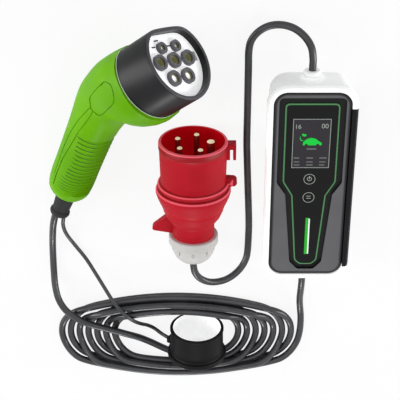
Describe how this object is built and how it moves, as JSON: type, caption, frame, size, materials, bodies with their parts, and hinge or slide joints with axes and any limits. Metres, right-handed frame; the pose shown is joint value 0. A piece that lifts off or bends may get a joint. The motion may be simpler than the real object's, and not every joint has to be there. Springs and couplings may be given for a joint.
{
  "type": "portable electric vehicle charging set",
  "caption": "Portable electric car charging set laid flat: green vehicle connector, control box with display, red industrial supply plug, coiled cable and tethered protective cap.",
  "frame": {"origin": "centre of the control box's back face", "axes": "+Y along the control box towards its supply cable end, +Z out of its front panel, +X to the right of the panel"},
  "size_m": [0.2784, 0.3903, 0.1003],
  "materials": {
    "black_plastic": "matt",
    "white_plastic": "satin",
    "grey_plastic": "satin",
    "gloss_black": "gloss",
    "green_light": "translucent",
    "display_glass": "gloss",
    "key_ring": "gloss",
    "steel": "zinc plated",
    "board": "satin",
    "relay_plastic": "satin",
    "terminal_plastic": "matt",
    "rubber": "matt",
    "green_plastic": "satin",
    "dark_plastic": "satin",
    "brass": "nickel plated",
    "red_plastic": "satin",
    "dark_red_plastic": "matt",
    "cable_jacket": "satin"
  },
  "bodies": {
    "root": {"case_rear_shell": "black_plastic", "case_rim": "white_plastic", "case_gasket": "rubber", "front_cover": "grey_plastic", "glossy_panel": "gloss_black", "panel_light_line": "green_light", "display": "display_glass", "touch_keys": "key_ring", "light_bar": "green_light", "cover_screws": "steel", "circuit_board": "board", "board_screws": "steel", "relays": "relay_plastic", "current_sensor": "black_plastic", "power_module": "black_plastic", "terminal_blocks": "terminal_plastic", "upper_collar": "rubber", "lower_collar": "rubber", "connector_shell_left": "green_plastic", "connector_shell_right": "green_plastic", "connector_barrel": "dark_plastic", "contact_face": "white_plastic", "contact_carrier": "dark_plastic", "power_contacts": "brass", "signal_contacts": "brass", "contact_retainer": "dark_plastic", "cable_clamp": "steel", "shell_screws": "steel", "connector_strain_relief": "rubber", "plug_shroud": "red_plastic", "plug_pin_carrier": "dark_red_plastic", "plug_pins": "brass", "plug_earth_pin": "brass", "plug_terminal_screws": "steel", "plug_rear_housing": "red_plastic", "plug_seal": "rubber", "plug_gland_nut": "white_plastic", "protective_cap": "black_plastic", "connector_cable": "cable_jacket", "cable_coil": "cable_jacket", "box_cable": "cable_jacket", "supply_cable": "cable_jacket", "cap_tether": "cable_jacket"}
  },
  "joints": []
}
